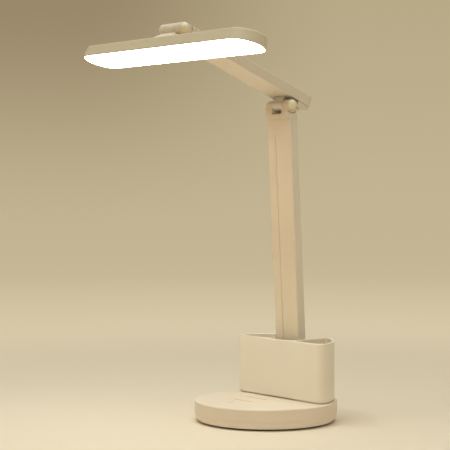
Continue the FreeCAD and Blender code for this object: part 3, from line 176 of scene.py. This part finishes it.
class LampStage(bpy.types.PropertyGroup):
    """Floor, backdrop, lights and camera"""

    floor_colour: colour_property("Floor", "Paper under the lamp", swatch(228, 213, 182))
    # Painted shade: the backdrop colours below darken the far paper with distance and height, and most in one
    # corner.
    near_colour: colour_property("Near backdrop", "Paper just behind the lamp", swatch(219, 205, 172))
    low_colour: colour_property("Low backdrop", "Paper where it turns upward", swatch(194, 180, 147))
    high_colour: colour_property("High backdrop", "Paper above the lamp", swatch(182, 168, 133))
    dark_colour: colour_property(
        "Dark corner", "Paper in the corner that gets least light", swatch(152, 135, 105))
    floor_radius: length_property("Floor radius", "Radius of the flat floor", 2.4)
    wall_radius: length_property("Wall radius", "Radius of the standing backdrop", 3.4)
    wall_height: length_property("Wall height", "Height of the standing backdrop", 3.0)
    key_place: place_property("Key place", "Where the light in front hangs", (-0.7, -1.9, 1.5))
    key_colour: colour_property("Key colour", "Colour of the light in front", (1.0, 0.985, 0.96))
    key_power: bpy.props.FloatProperty(
        name="Key light", description="Power of the soft light in front", unit="POWER", min=0.0, default=0.5)
    top_place: place_property("Top place", "Where the light above hangs", (0.1, -0.2, 2.2))
    top_colour: colour_property("Top colour", "Colour of the light above", (0.97, 0.985, 1.0))
    top_power: bpy.props.FloatProperty(
        name="Top light", description="Power of the soft light above", unit="POWER", min=0.0, default=30.0)
    light_aim: place_property("Light aim", "The middle of the lamp, which both lights face", (0.0, 0.0, 0.18))
    sky_colour: colour_property("Sky colour", "Colour of the even light from all round", (1.0, 0.985, 0.955))
    sky_level: bpy.props.FloatProperty(
        name="Sky", description="Level of the even light from all round", min=0.0, default=0.39)
    camera_place: place_property("Camera place", "Where the camera stands", (1.18432, -1.01216, 0.24826))
    camera_aim: bpy.props.FloatVectorProperty(
        name="Camera aim", description="Which way the camera looks", subtype="DIRECTION",
        size=3, default=(-0.77757, 0.62821, -0.02711))
    lens: bpy.props.FloatProperty(
        name="Lens", description="Focal length on a sensor 36 mm wide", unit="CAMERA", min=1.0, default=118.6)


class Wire:
    """A socket that takes part in sums as a number does."""

    def __init__(self, finish, socket):
        self.finish = finish
        self.socket = socket

    def math(self, operation, *values):
        return self.finish.node("ShaderNodeMath", {"operation": operation}, dict(enumerate(values)))

    def __add__(self, other):
        return self.math("ADD", self, other)

    __radd__ = __add__

    def __sub__(self, other):
        return self.math("SUBTRACT", self, other)

    def __rsub__(self, other):
        return self.math("SUBTRACT", other, self)

    def __mul__(self, other):
        return self.math("MULTIPLY", self, other)

    __rmul__ = __mul__

    def __truediv__(self, other):
        return self.math("DIVIDE", self, other)

    def __pow__(self, other):
        return self.math("POWER", self, other)

    def __abs__(self):
        return self.math("ABSOLUTE", self)

    def at_least(self, other):
        return self.math("MAXIMUM", self, other)

    def between(self, low, high):
        """Rise smoothly from 0 at low to 1 at high."""
        return self.finish.node(
            "ShaderNodeMapRange", {"interpolation_type": "SMOOTHSTEP"},
            {"Value": self, "From Min": low, "From Max": high})

    def about(self, middle, span):
        """Spread a cloud, which runs from 0 to 1, over a span about a middle."""
        return middle + (self - 0.5) * span


class Finish:
    """A material under construction."""

    def __init__(self, name):
        self.material = bpy.data.materials.new(name)
        self.material.use_nodes = True
        self.tree = self.material.node_tree
        self.tree.nodes.clear()

    def node(self, kind, settings=None, sockets=None, output=0):
        """Add a node: its settings first, then the values or wires of its sockets."""
        node = self.tree.nodes.new(kind)
        for name, value in (settings or {}).items():
            setattr(node, name, value)
        for name, value in (sockets or {}).items():
            if isinstance(value, Wire):
                self.tree.links.new(value.socket, node.inputs[name])
            elif isinstance(value, tuple) and len(node.inputs[name].default_value) == 4:
                node.inputs[name].default_value = (*value, 1.0)
            else:
                node.inputs[name].default_value = value
        return Wire(self, node.outputs[output]) if node.outputs else None

    def place(self):
        """Return the point on the object, in metres."""
        return self.node("ShaderNodeTexCoord", output="Object")

    def parts(self, vector):
        """Return the three numbers of a vector."""
        split = self.node("ShaderNodeSeparateXYZ", None, {"Vector": vector})
        return [Wire(self, socket) for socket in split.socket.node.outputs]

    def stretched(self, vector, shares):
        return self.node("ShaderNodeVectorMath", {"operation": "MULTIPLY"}, {0: vector, 1: shares})

    def noise(self, vector, width, detail=2.0, roughness=0.5, distortion=0.0):
        """Return a cloud whose patches are about as wide as asked."""
        return self.node(
            "ShaderNodeTexNoise", {"noise_dimensions": "3D"},
            {"Vector": vector, "Scale": 1.0 / width, "Detail": detail, "Roughness": roughness,
             "Distortion": distortion})

    def mixed(self, share, first, second):
        """Mix two colours."""
        return self.node(
            "ShaderNodeMix", {"data_type": "RGBA", "blend_type": "MIX"},
            {0: share, 6: first, 7: second}, output=2)

    def varied(self, share, colour, low, high):
        """Mix two levels of one colour."""
        return self.mixed(share, shade(colour, low), shade(colour, high))

    def softened(self, radius):
        """Return the surface's direction with its edges rounded."""
        return self.node("ShaderNodeBevel", {"samples": 4}, {"Radius": radius})

    def edges(self, radius):
        """Return 1 on sharp edges and 0 on open faces."""
        true = self.node("ShaderNodeNewGeometry", output="Normal")
        soft = self.softened(radius)
        match = self.node(
            "ShaderNodeVectorMath", {"operation": "DOT_PRODUCT"}, {0: true, 1: soft}, output="Value")
        return (1.0 - match).between(0.0, 0.22)

    def nooks(self, reach):
        """Return 1 deep in corners and 0 on open faces."""
        return 1.0 - self.node(
            "ShaderNodeAmbientOcclusion", {"samples": 6, "only_local": False},
            {"Distance": reach}, output="AO")

    def bumped(self, height, depth, normal=None):
        sockets = {"Height": height, "Distance": depth, "Strength": 1.0}
        if normal is not None:
            sockets["Normal"] = normal
        return self.node("ShaderNodeBump", None, sockets)

    def surface(self, **sockets):
        """Finish the material with the plain surface shader."""
        named = {name.replace("_", " "): value for name, value in sockets.items()}
        self.closed(self.node("ShaderNodeBsdfPrincipled", None, named))
        return self.material

    def closed(self, shader):
        self.node("ShaderNodeOutputMaterial", None, {"Surface": shader})


# The masks below choose faces by direction and height, for colours painted in place of light and shade.
def front_faces(place, direction):
    """Return 1 where a surface looks forward."""
    return (-1.0 * direction[1]).between(0.45, 0.9)


def low_front_faces(place, direction):
    """Return 1 where a surface looks forward near the base."""
    return front_faces(place, direction) * (1.0 - place[2].between(0.1, 0.2))


def under_faces(place, direction):
    """Return 1 where a surface looks down."""
    return (-1.0 * direction[2]).between(0.1, 0.7)


def upright_faces(place, direction):
    """Return 1 where a surface stands upright."""
    return 1.0 - abs(direction[2]).between(0.2, 0.8)


def moulded_plastic(name, colour, roughness, painted_lights=(), wear=1.0, reach=0.004, dulled_and_shaded=1.0):
    """Satin plastic: fine mould grain, faint flow clouds, pale handled edges, and corners darkened
    partly by dirt and partly by painted shade.

    Each painted light is a colour, painted by face direction in place of light and shade, with the
    function that tells which faces get it. Wear and dulled_and_shaded multiply the edge wear and
    the dirt and painted shade of the look, and reach is how wide the corners are.
    """
    look = bpy.context.scene.lamp_finishes
    finish = Finish(name)
    place = finish.place()
    cloud = finish.noise(place, look.cloud_width, detail=3.0)
    fleck = finish.noise(place, look.fleck_width)
    grain = finish.noise(place, look.grain_width, roughness=0.6)
    edge = finish.edges(look.edge_round * 1.5)
    nook = finish.nooks(reach)
    flow_levels, fleck_edges = (0.965, 1.03), (0.62, 0.8)
    fleck_share, fleck_level, worn_level = 0.05, 0.8, 1.09
    flow = finish.varied(cloud, colour, *flow_levels)
    # Painted light and shade: each chosen face direction takes its own colour.
    for painted_light, faces in painted_lights:
        direction = finish.parts(finish.node("ShaderNodeTexCoord", output="Normal"))
        face = finish.varied(cloud, painted_light, *flow_levels)
        flow = finish.mixed(faces(finish.parts(place), direction), flow, face)
    flecked = finish.mixed(fleck.between(*fleck_edges) * fleck_share, flow, shade(colour, fleck_level))
    worn = finish.mixed(edge * (look.wear * wear), flecked, shade(colour, worn_level))
    # Painted shade, partly dirt: corners found by occlusion are darkened towards a lower level of the
    # plastic's colour.
    dusted_and_shaded = finish.mixed(nook * (look.dust_and_shade * dulled_and_shaded), worn, shade(colour, look.soil_and_shade / dulled_and_shaded ** 0.5))
    return finish.surface(
        Base_Color=dusted_and_shaded,
        Roughness=cloud.about(roughness, 0.10) + fleck.about(0.0, 0.06) - edge * 0.10 + nook * 0.15,
        Normal=finish.bumped(grain, look.grain_depth, finish.softened(look.edge_round)),
        IOR=1.46,
    )


def printed_mark(name, colour):
    """Inlaid mark: a darker satin film, a little uneven in its colour."""
    look = bpy.context.scene.lamp_finishes
    finish = Finish(name)
    place = finish.place()
    cloud = finish.noise(place, width=0.004, detail=3.0)
    grain = finish.noise(place, look.grain_width)
    return finish.surface(
        Base_Color=finish.varied(cloud, colour, 0.94, 1.06),
        Roughness=cloud.about(0.38, 0.12),
        Normal=finish.bumped(grain, look.grain_depth),
    )


def lit_diffuser(name):
    """Milky panel, lit from behind: even in the middle and dimmer at its rim."""
    look = bpy.context.scene.lamp_finishes
    low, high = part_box("diffuser")
    half_length = (high.x - low.x) / 2
    middle = (low + high) / 2
    finish = Finish(name)
    x, y = finish.parts(finish.place())[:2]
    across = (y - middle.y) / math.cos(look.panel_tilt)
    beyond = (abs(x) - (half_length - look.panel_half_width)).at_least(0.0)
    rim = (beyond * beyond + across * across) ** 0.5 / look.panel_half_width
    cloud = finish.noise(finish.place(), width=0.012)
    rim_edges, rim_level, cloud_level = (0.72, 1.02), 0.62, 0.9
    light = tuple(look.light_colour)
    glow = finish.mixed(rim.between(*rim_edges), light, shade(light, rim_level))
    clouded = finish.mixed(cloud * 0.06, glow, shade(light, cloud_level))
    return finish.surface(
        Base_Color=MATERIAL_COLOURS["panel"],
        Roughness=cloud.about(0.5, 0.1),
        Emission_Color=clouded,
        Emission_Strength=look.light_level,
    )


def white_tray(name):
    """Bright white reflector with faint vacuum-forming ripples."""
    finish = Finish(name)
    place = finish.place()
    ripple = finish.noise(finish.stretched(place, (0.2, 1.0, 1.0)), width=0.004, detail=3.0)
    return finish.surface(
        Base_Color=finish.mixed(ripple, *MATERIAL_COLOURS["tray"]),
        Roughness=0.34 + ripple * 0.12,
        Normal=finish.bumped(ripple, depth=0.00002),
    )


def nylon(name):
    """Natural nylon of the friction washers, finely rubbed."""
    finish = Finish(name)
    place = finish.place()
    rub = finish.noise(finish.stretched(place, (0.1, 1.0, 1.0)), width=0.0006, detail=3.0)
    return finish.surface(
        Base_Color=finish.mixed(rub, *MATERIAL_COLOURS["nylon"]),
        Roughness=0.4 + rub * 0.2,
        Normal=finish.bumped(rub, depth=0.00001),
    )


def wire_sleeve(name):
    """Soft white sleeve of the wires, a little soiled."""
    finish = Finish(name)
    place = finish.place()
    soil_and_shade = finish.noise(place, width=0.006, detail=4.0)
    return finish.surface(
        Base_Color=finish.mixed(soil_and_shade.between(0.5, 0.8) * 0.6, *MATERIAL_COLOURS["sleeve"]),
        Roughness=0.45 + soil_and_shade * 0.15,
        Normal=finish.bumped(soil_and_shade, depth=0.00003),
    )


def battery_film(name):
    """Shrunk film round the battery, with fine creases and a taped end."""
    finish = Finish(name)
    place = finish.place()
    along = finish.parts(place)[0]
    crease = finish.noise(
        finish.stretched(place, (1.0, 0.25, 1.0)), width=0.004, detail=5.0, roughness=0.6, distortion=0.6)
    tape_start, tape_edge = 0.020, 0.0003
    tape = (along - tape_start).between(0.0, tape_edge)
    film = finish.mixed(crease, *MATERIAL_COLOURS["film"])
    return finish.surface(
        Base_Color=finish.mixed(tape, film, MATERIAL_COLOURS["tape"]),
        Roughness=0.22 + crease * 0.2,
        Normal=finish.bumped(crease + tape * 0.5, depth=0.00012),
    )


def circuit_lacquer(name):
    """Green board with paler copper tracks under the lacquer."""
    finish = Finish(name)
    place = finish.place()
    cells_per_metre, ring_radius, ring_edges = 320.0, 0.42, (0.03, 0.07)
    cells = finish.node(
        "ShaderNodeTexVoronoi", {"voronoi_dimensions": "3D", "feature": "F1", "distance": "CHEBYCHEV"},
        {"Vector": place, "Scale": cells_per_metre})
    track = 1.0 - abs(cells - ring_radius).between(*ring_edges)
    weave = finish.noise(place, width=0.0006)
    board = finish.mixed(weave, *MATERIAL_COLOURS["board"])
    return finish.surface(
        Base_Color=finish.mixed(track * 0.7, board, MATERIAL_COLOURS["track"]),
        Roughness=0.28 + weave * 0.14,
        Normal=finish.bumped(track, depth=0.00003),
    )


def chip_phosphor(name):
    """Yellow phosphor of the light chips."""
    finish = Finish(name)
    place = finish.place()
    speck = finish.noise(place, width=0.0004, detail=3.0)
    return finish.surface(
        Base_Color=finish.mixed(speck, *MATERIAL_COLOURS["phosphor"]),
        Roughness=0.35 + speck * 0.2,
        Emission_Color=MATERIAL_COLOURS["chip_glow"],
        Emission_Strength=0.6,
        Normal=finish.bumped(speck, depth=0.00001),
    )


def soft_rubber(name):
    """Dull dark rubber with a fine tooth and a dusty bloom."""
    finish = Finish(name)
    place = finish.place()
    tooth = finish.noise(place, width=0.0005, detail=3.0, roughness=0.7)
    bloom = finish.noise(place, width=0.012, detail=4.0)
    return finish.surface(
        Base_Color=finish.mixed(bloom.between(0.45, 0.75) * 0.5, *MATERIAL_COLOURS["rubber"]),
        Roughness=tooth.about(0.78, 0.12),
        Normal=finish.bumped(tooth, depth=0.00004),
    )


def worked_metal(name, colour, roughness, along, width):
    """Metal with drawn lines along one direction and a few dull patches."""
    finish = Finish(name)
    place = finish.place()
    lines = finish.noise(finish.stretched(place, along), width, detail=3.0, roughness=0.6)
    patch = finish.noise(place, width=0.01, detail=3.0)
    return finish.surface(
        Base_Color=finish.varied(lines, colour, 0.86, 1.08),
        Metallic=1.0,
        Roughness=lines.about(roughness, 0.16) + patch.between(0.5, 0.8) * 0.14,
        Normal=finish.bumped(lines, depth=0.000008),
    )


def finishes():
    """Return the maker of each finish that the frame's nodes name."""
    look = bpy.context.scene.lamp_finishes
    return {
        "cream_plastic": lambda name: moulded_plastic(name, look.shell_colour, look.gloss),
        # Painted light and shade: forward faces of the stem and elbow fork are coloured by their direction,
        # and paler low down.
        "stem_plastic": lambda name: moulded_plastic(
            name, look.shell_colour, look.gloss,
            ((look.painted_stem_front_colour, front_faces), (look.painted_stem_low_colour, low_front_faces))),
        # Painted light: upright and downward faces of the base take lighter colours by their direction.
        "base_plastic": lambda name: moulded_plastic(
            name, look.base_colour, look.gloss,
            ((look.painted_side_colour, upright_faces), (look.painted_tuck_colour, under_faces))),
        "head_plastic": lambda name: moulded_plastic(name, look.head_colour, look.gloss),
        "box_plastic": lambda name: moulded_plastic(name, look.box_colour, look.gloss + 0.04, wear=0.3),
        # Painted shade: the knuckle and the arm's lower cover have their corners darkened five times more,
        # over a wider reach, standing in for the shadow under the arm near the elbow. Their downward faces
        # take a paler painted-light colour.
        "sheltered_plastic": lambda name: moulded_plastic(
            name, look.shell_colour, look.gloss, ((look.painted_underside_colour, under_faces),),
            reach=0.03, dulled_and_shaded=5.0),
        "cap_plastic": lambda name: moulded_plastic(name, look.cap_colour, look.gloss - 0.12),
        "mark_grey": lambda name: printed_mark(name, look.mark_colour),
        "diffuser_white": lit_diffuser,
        "tray_white": white_tray,
        "washer_plastic": nylon,
        "wire_white": wire_sleeve,
        "battery_wrap": battery_film,
        "circuit_board": circuit_lacquer,
        "chip_yellow": chip_phosphor,
        "grey_rubber": soft_rubber,
        "steel": lambda name: worked_metal(
            name, MATERIAL_COLOURS["steel"], roughness=0.34, along=(1.0, 0.05, 1.0), width=0.0008),
        "screw_steel": lambda name: worked_metal(
            name, MATERIAL_COLOURS["screw"], roughness=0.28, along=(1.0, 1.0, 0.2), width=0.0005),
        "board_aluminium": lambda name: worked_metal(
            name, MATERIAL_COLOURS["aluminium"], roughness=0.36, along=(0.04, 1.0, 1.0), width=0.0007),
    }


def finished(name):
    """Return the material of that name, made the first time it is asked for."""
    return bpy.data.materials.get("lamp_" + name) or finishes()[name]("lamp_" + name)


def dress(body, special=None):
    """Give every node of a body the finish that its slot names, or a special one."""
    for node in frame["nodes"].values():
        if node.parent is not frame["bodies"][body]:
            continue
        slot = node.material_slots[0]
        slot.material = finished((special or {}).get(node.name, slot.material.name))


def swept_ring(name, profile, steps=96):
    """Turn a line of (radius, height) points about the middle."""
    shape = bmesh.new()
    rows = []
    for radius, height in profile:
        if radius == 0.0:
            rows.append([shape.verts.new((0.0, 0.0, height))])
            continue
        turns = [2 * math.pi * step / steps for step in range(steps)]
        rows.append([
            shape.verts.new((radius * math.cos(turn), radius * math.sin(turn), height))
            for turn in turns])
    for inner, outer in zip(rows, rows[1:]):
        for step in range(steps):
            after = (step + 1) % steps
            corners = [inner[step % len(inner)], outer[step], outer[after], inner[after % len(inner)]]
            shape.faces.new(list(dict.fromkeys(corners)))
    mesh = bpy.data.meshes.new(name)
    shape.to_mesh(mesh)
    shape.free()
    for face in mesh.polygons:
        face.use_smooth = True
    thing = bpy.data.objects.new(name, mesh)
    bpy.context.scene.collection.objects.link(thing)
    return thing


def backdrop_paper(name):
    """Cream paper with painted shade that darkens it with distance and height, and most in one far corner.

    The camera sees the far part as it is painted, without the light that falls on it.
    """
    stage = bpy.context.scene.lamp_stage
    finish = Finish(name)
    place = finish.place()
    depth_span, height_span, paint_span = (0.2, 3.3), (0.1, 1.1), (0.35, 1.1)
    corner_start, corner_width, corner_height_span = 0.4, 0.95, (0.05, 0.95)
    light_side = (0.628, 0.778)
    x, y, height = finish.parts(place)
    distance = (x * x + y * y) ** 0.5
    aside = x * light_side[0] + y * light_side[1]
    fibre = finish.noise(place, width=0.0012, detail=3.0)
    near, low, high, dark = (
        tuple(colour)
        for colour in (stage.near_colour, stage.low_colour, stage.high_colour, stage.dark_colour))
    # Painted shade: the far paper darkens with distance and height, and most in the corner away from the
    # light.
    turned = finish.mixed(distance.between(*depth_span), near, low)
    raised = finish.mixed(height.between(*height_span), turned, high)
    corner = height.between(*corner_height_span) * (corner_start - aside).between(0.0, corner_width)
    far = finish.mixed(corner, raised, dark)
    ground = finish.varied(fibre, stage.floor_colour, 0.985, 1.01)
    paper = finish.node("ShaderNodeBsdfPrincipled", None, {
        "Base Color": ground, "Roughness": 0.9, "Specular IOR Level": 0.1,
        "Normal": finish.bumped(fibre, depth=0.00002)})
    glow = finish.node("ShaderNodeEmission", None, {"Color": far, "Strength": 1.0})
    path = finish.node("ShaderNodeLightPath").socket.node.outputs
    seen = Wire(finish, path["Is Camera Ray"])
    seen = seen.at_least(Wire(finish, path["Is Glossy Ray"]))
    seen = seen.at_least(Wire(finish, path["Is Transmission Ray"]))
    share = seen * distance.between(*paint_span)
    finish.closed(finish.node("ShaderNodeMixShader", None, {0: share, 1: paper, 2: glow}))
    return finish.material


def soft_light(name, place, size, power, colour):
    """Hang a large soft light that faces the middle of the lamp."""
    aim = Vector(bpy.context.scene.lamp_stage.light_aim)
    lamp = bpy.data.lights.new(name, "AREA")
    lamp.shape = "RECTANGLE"
    lamp.size, lamp.size_y = size
    lamp.energy = power
    lamp.color = colour
    thing = bpy.data.objects.new(name, lamp)
    bpy.context.scene.collection.objects.link(thing)
    thing.location = place
    thing.rotation_euler = (aim - Vector(place)).to_track_quat("-Z", "Y").to_euler()
    return thing


class LAMP_OT_base(bpy.types.Operator):
    """Finish the round base, its cover, feet, weight, battery and boards"""

    bl_idname = "lamp.base"
    bl_label = "Finish the base"

    def execute(self, context):
        dress("base", {"base_shell": "base_plastic"})
        return {"FINISHED"}


class LAMP_OT_storage_box(bpy.types.Operator):
    """Finish the storage box that stands on the base"""

    bl_idname = "lamp.storage_box"
    bl_label = "Finish the storage box"

    def execute(self, context):
        dress("storage_box")
        return {"FINISHED"}


class LAMP_OT_stem(bpy.types.Operator):
    """Finish the stem, its covers, forks and caps"""

    bl_idname = "lamp.stem"
    bl_label = "Finish the stem"

    def execute(self, context):
        dress("stem", {"stem_front_cover": "stem_plastic", "elbow_fork": "stem_plastic"})
        return {"FINISHED"}


class LAMP_OT_arm(bpy.types.Operator):
    """Finish the arm, its covers, fork and caps"""

    bl_idname = "lamp.arm"
    bl_label = "Finish the arm"

    def execute(self, context):
        # The knuckle and the arm's lower cover take the plastic with painted shade.
        dress("arm", {"arm_knuckle": "sheltered_plastic", "arm_bottom_cover": "sheltered_plastic"})
        return {"FINISHED"}


class LAMP_OT_head(bpy.types.Operator):
    """Finish the head, its bracket, diffuser, tray and lights"""

    bl_idname = "lamp.head"
    bl_label = "Finish the head"

    def execute(self, context):
        dress("head", {"head_shell": "head_plastic"})
        return {"FINISHED"}


class LAMP_OT_stage(bpy.types.Operator):
    """Lay the floor, stand the backdrop, hang the lights and set up the camera"""

    bl_idname = "lamp.stage"
    bl_label = "Set the stage"

    def execute(self, context):
        stage = context.scene.lamp_stage
        paper = backdrop_paper("backdrop_paper")
        rings = (0.0, 0.4, 1.2, stage.floor_radius)
        floor = swept_ring("floor", [(radius, 0.0) for radius in rings])
        depth = stage.wall_radius - stage.floor_radius
        turns = [math.radians(angle) for angle in range(0, 91, 6)]
        bend = [(stage.floor_radius + depth * math.sin(turn), depth * (1 - math.cos(turn))) for turn in turns]
        wall = swept_ring("backdrop", bend + [(stage.wall_radius, stage.wall_height)])
        for thing in (floor, wall):
            thing.data.materials.append(paper)
            thing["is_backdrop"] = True
        wall.visible_diffuse = False
        wall.visible_shadow = False

        key_size, top_size = (1.6, 1.2), (2.0, 2.0)
        soft_light("key_light", stage.key_place, key_size, stage.key_power, stage.key_colour)
        soft_light("top_light", stage.top_place, top_size, stage.top_power, stage.top_colour)
        world = bpy.data.worlds.new("sky")
        world.use_nodes = True
        sky = world.node_tree.nodes["Background"].inputs
        sky["Color"].default_value = (*stage.sky_colour, 1.0)
        sky["Strength"].default_value = stage.sky_level
        context.scene.world = world

        lens = bpy.data.cameras.new("camera")
        lens.sensor_fit = "HORIZONTAL"
        lens.sensor_width = 36.0
        lens.lens = stage.lens
        lens.clip_end = 50.0
        camera = bpy.data.objects.new("camera", lens)
        context.scene.collection.objects.link(camera)
        camera.location = stage.camera_place
        camera.rotation_euler = Vector(stage.camera_aim).to_track_quat("-Z", "Y").to_euler()
        context.scene.camera = camera
        context.scene.view_settings.view_transform = "Standard"
        return {"FINISHED"}


class LAMP_PT_panel(bpy.types.Panel):
    """Lists what the lamp is made of"""

    bl_idname = "LAMP_PT_panel"
    bl_label = "Desk lamp"
    bl_space_type = "VIEW_3D"
    bl_region_type = "UI"
    bl_category = "Desk lamp"

    def draw(self, context):
        for operator in OPERATORS:
            self.layout.operator(operator.bl_idname)
        for group in (context.scene.lamp_finishes, context.scene.lamp_stage):
            column = self.layout.column()
            for name in group.bl_rna.properties.keys():
                if name not in ("rna_type", "name"):
                    column.prop(group, name)


OPERATORS = (LAMP_OT_base, LAMP_OT_storage_box, LAMP_OT_stem, LAMP_OT_arm, LAMP_OT_head, LAMP_OT_stage)
CLASSES = (LampFinishes, LampStage, *OPERATORS, LAMP_PT_panel)


def register():
    for kind in CLASSES:
        bpy.utils.register_class(kind)
    bpy.types.Scene.lamp_finishes = bpy.props.PointerProperty(type=LampFinishes)
    bpy.types.Scene.lamp_stage = bpy.props.PointerProperty(type=LampStage)


def unregister():
    del bpy.types.Scene.lamp_stage
    del bpy.types.Scene.lamp_finishes
    for kind in reversed(CLASSES):
        bpy.utils.unregister_class(kind)


def corners():
    """Return the lowest and highest corner of everything shown, as plain numbers."""
    low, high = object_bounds()
    return [list(low), list(high)]


def main():
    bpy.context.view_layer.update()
    register()
    bpy.ops.lamp.base()
    bpy.ops.lamp.storage_box()
    bpy.ops.lamp.stem()
    bpy.ops.lamp.arm()
    bpy.ops.lamp.head()
    bpy.ops.lamp.stage()


if __name__ == "__main__":
    main()
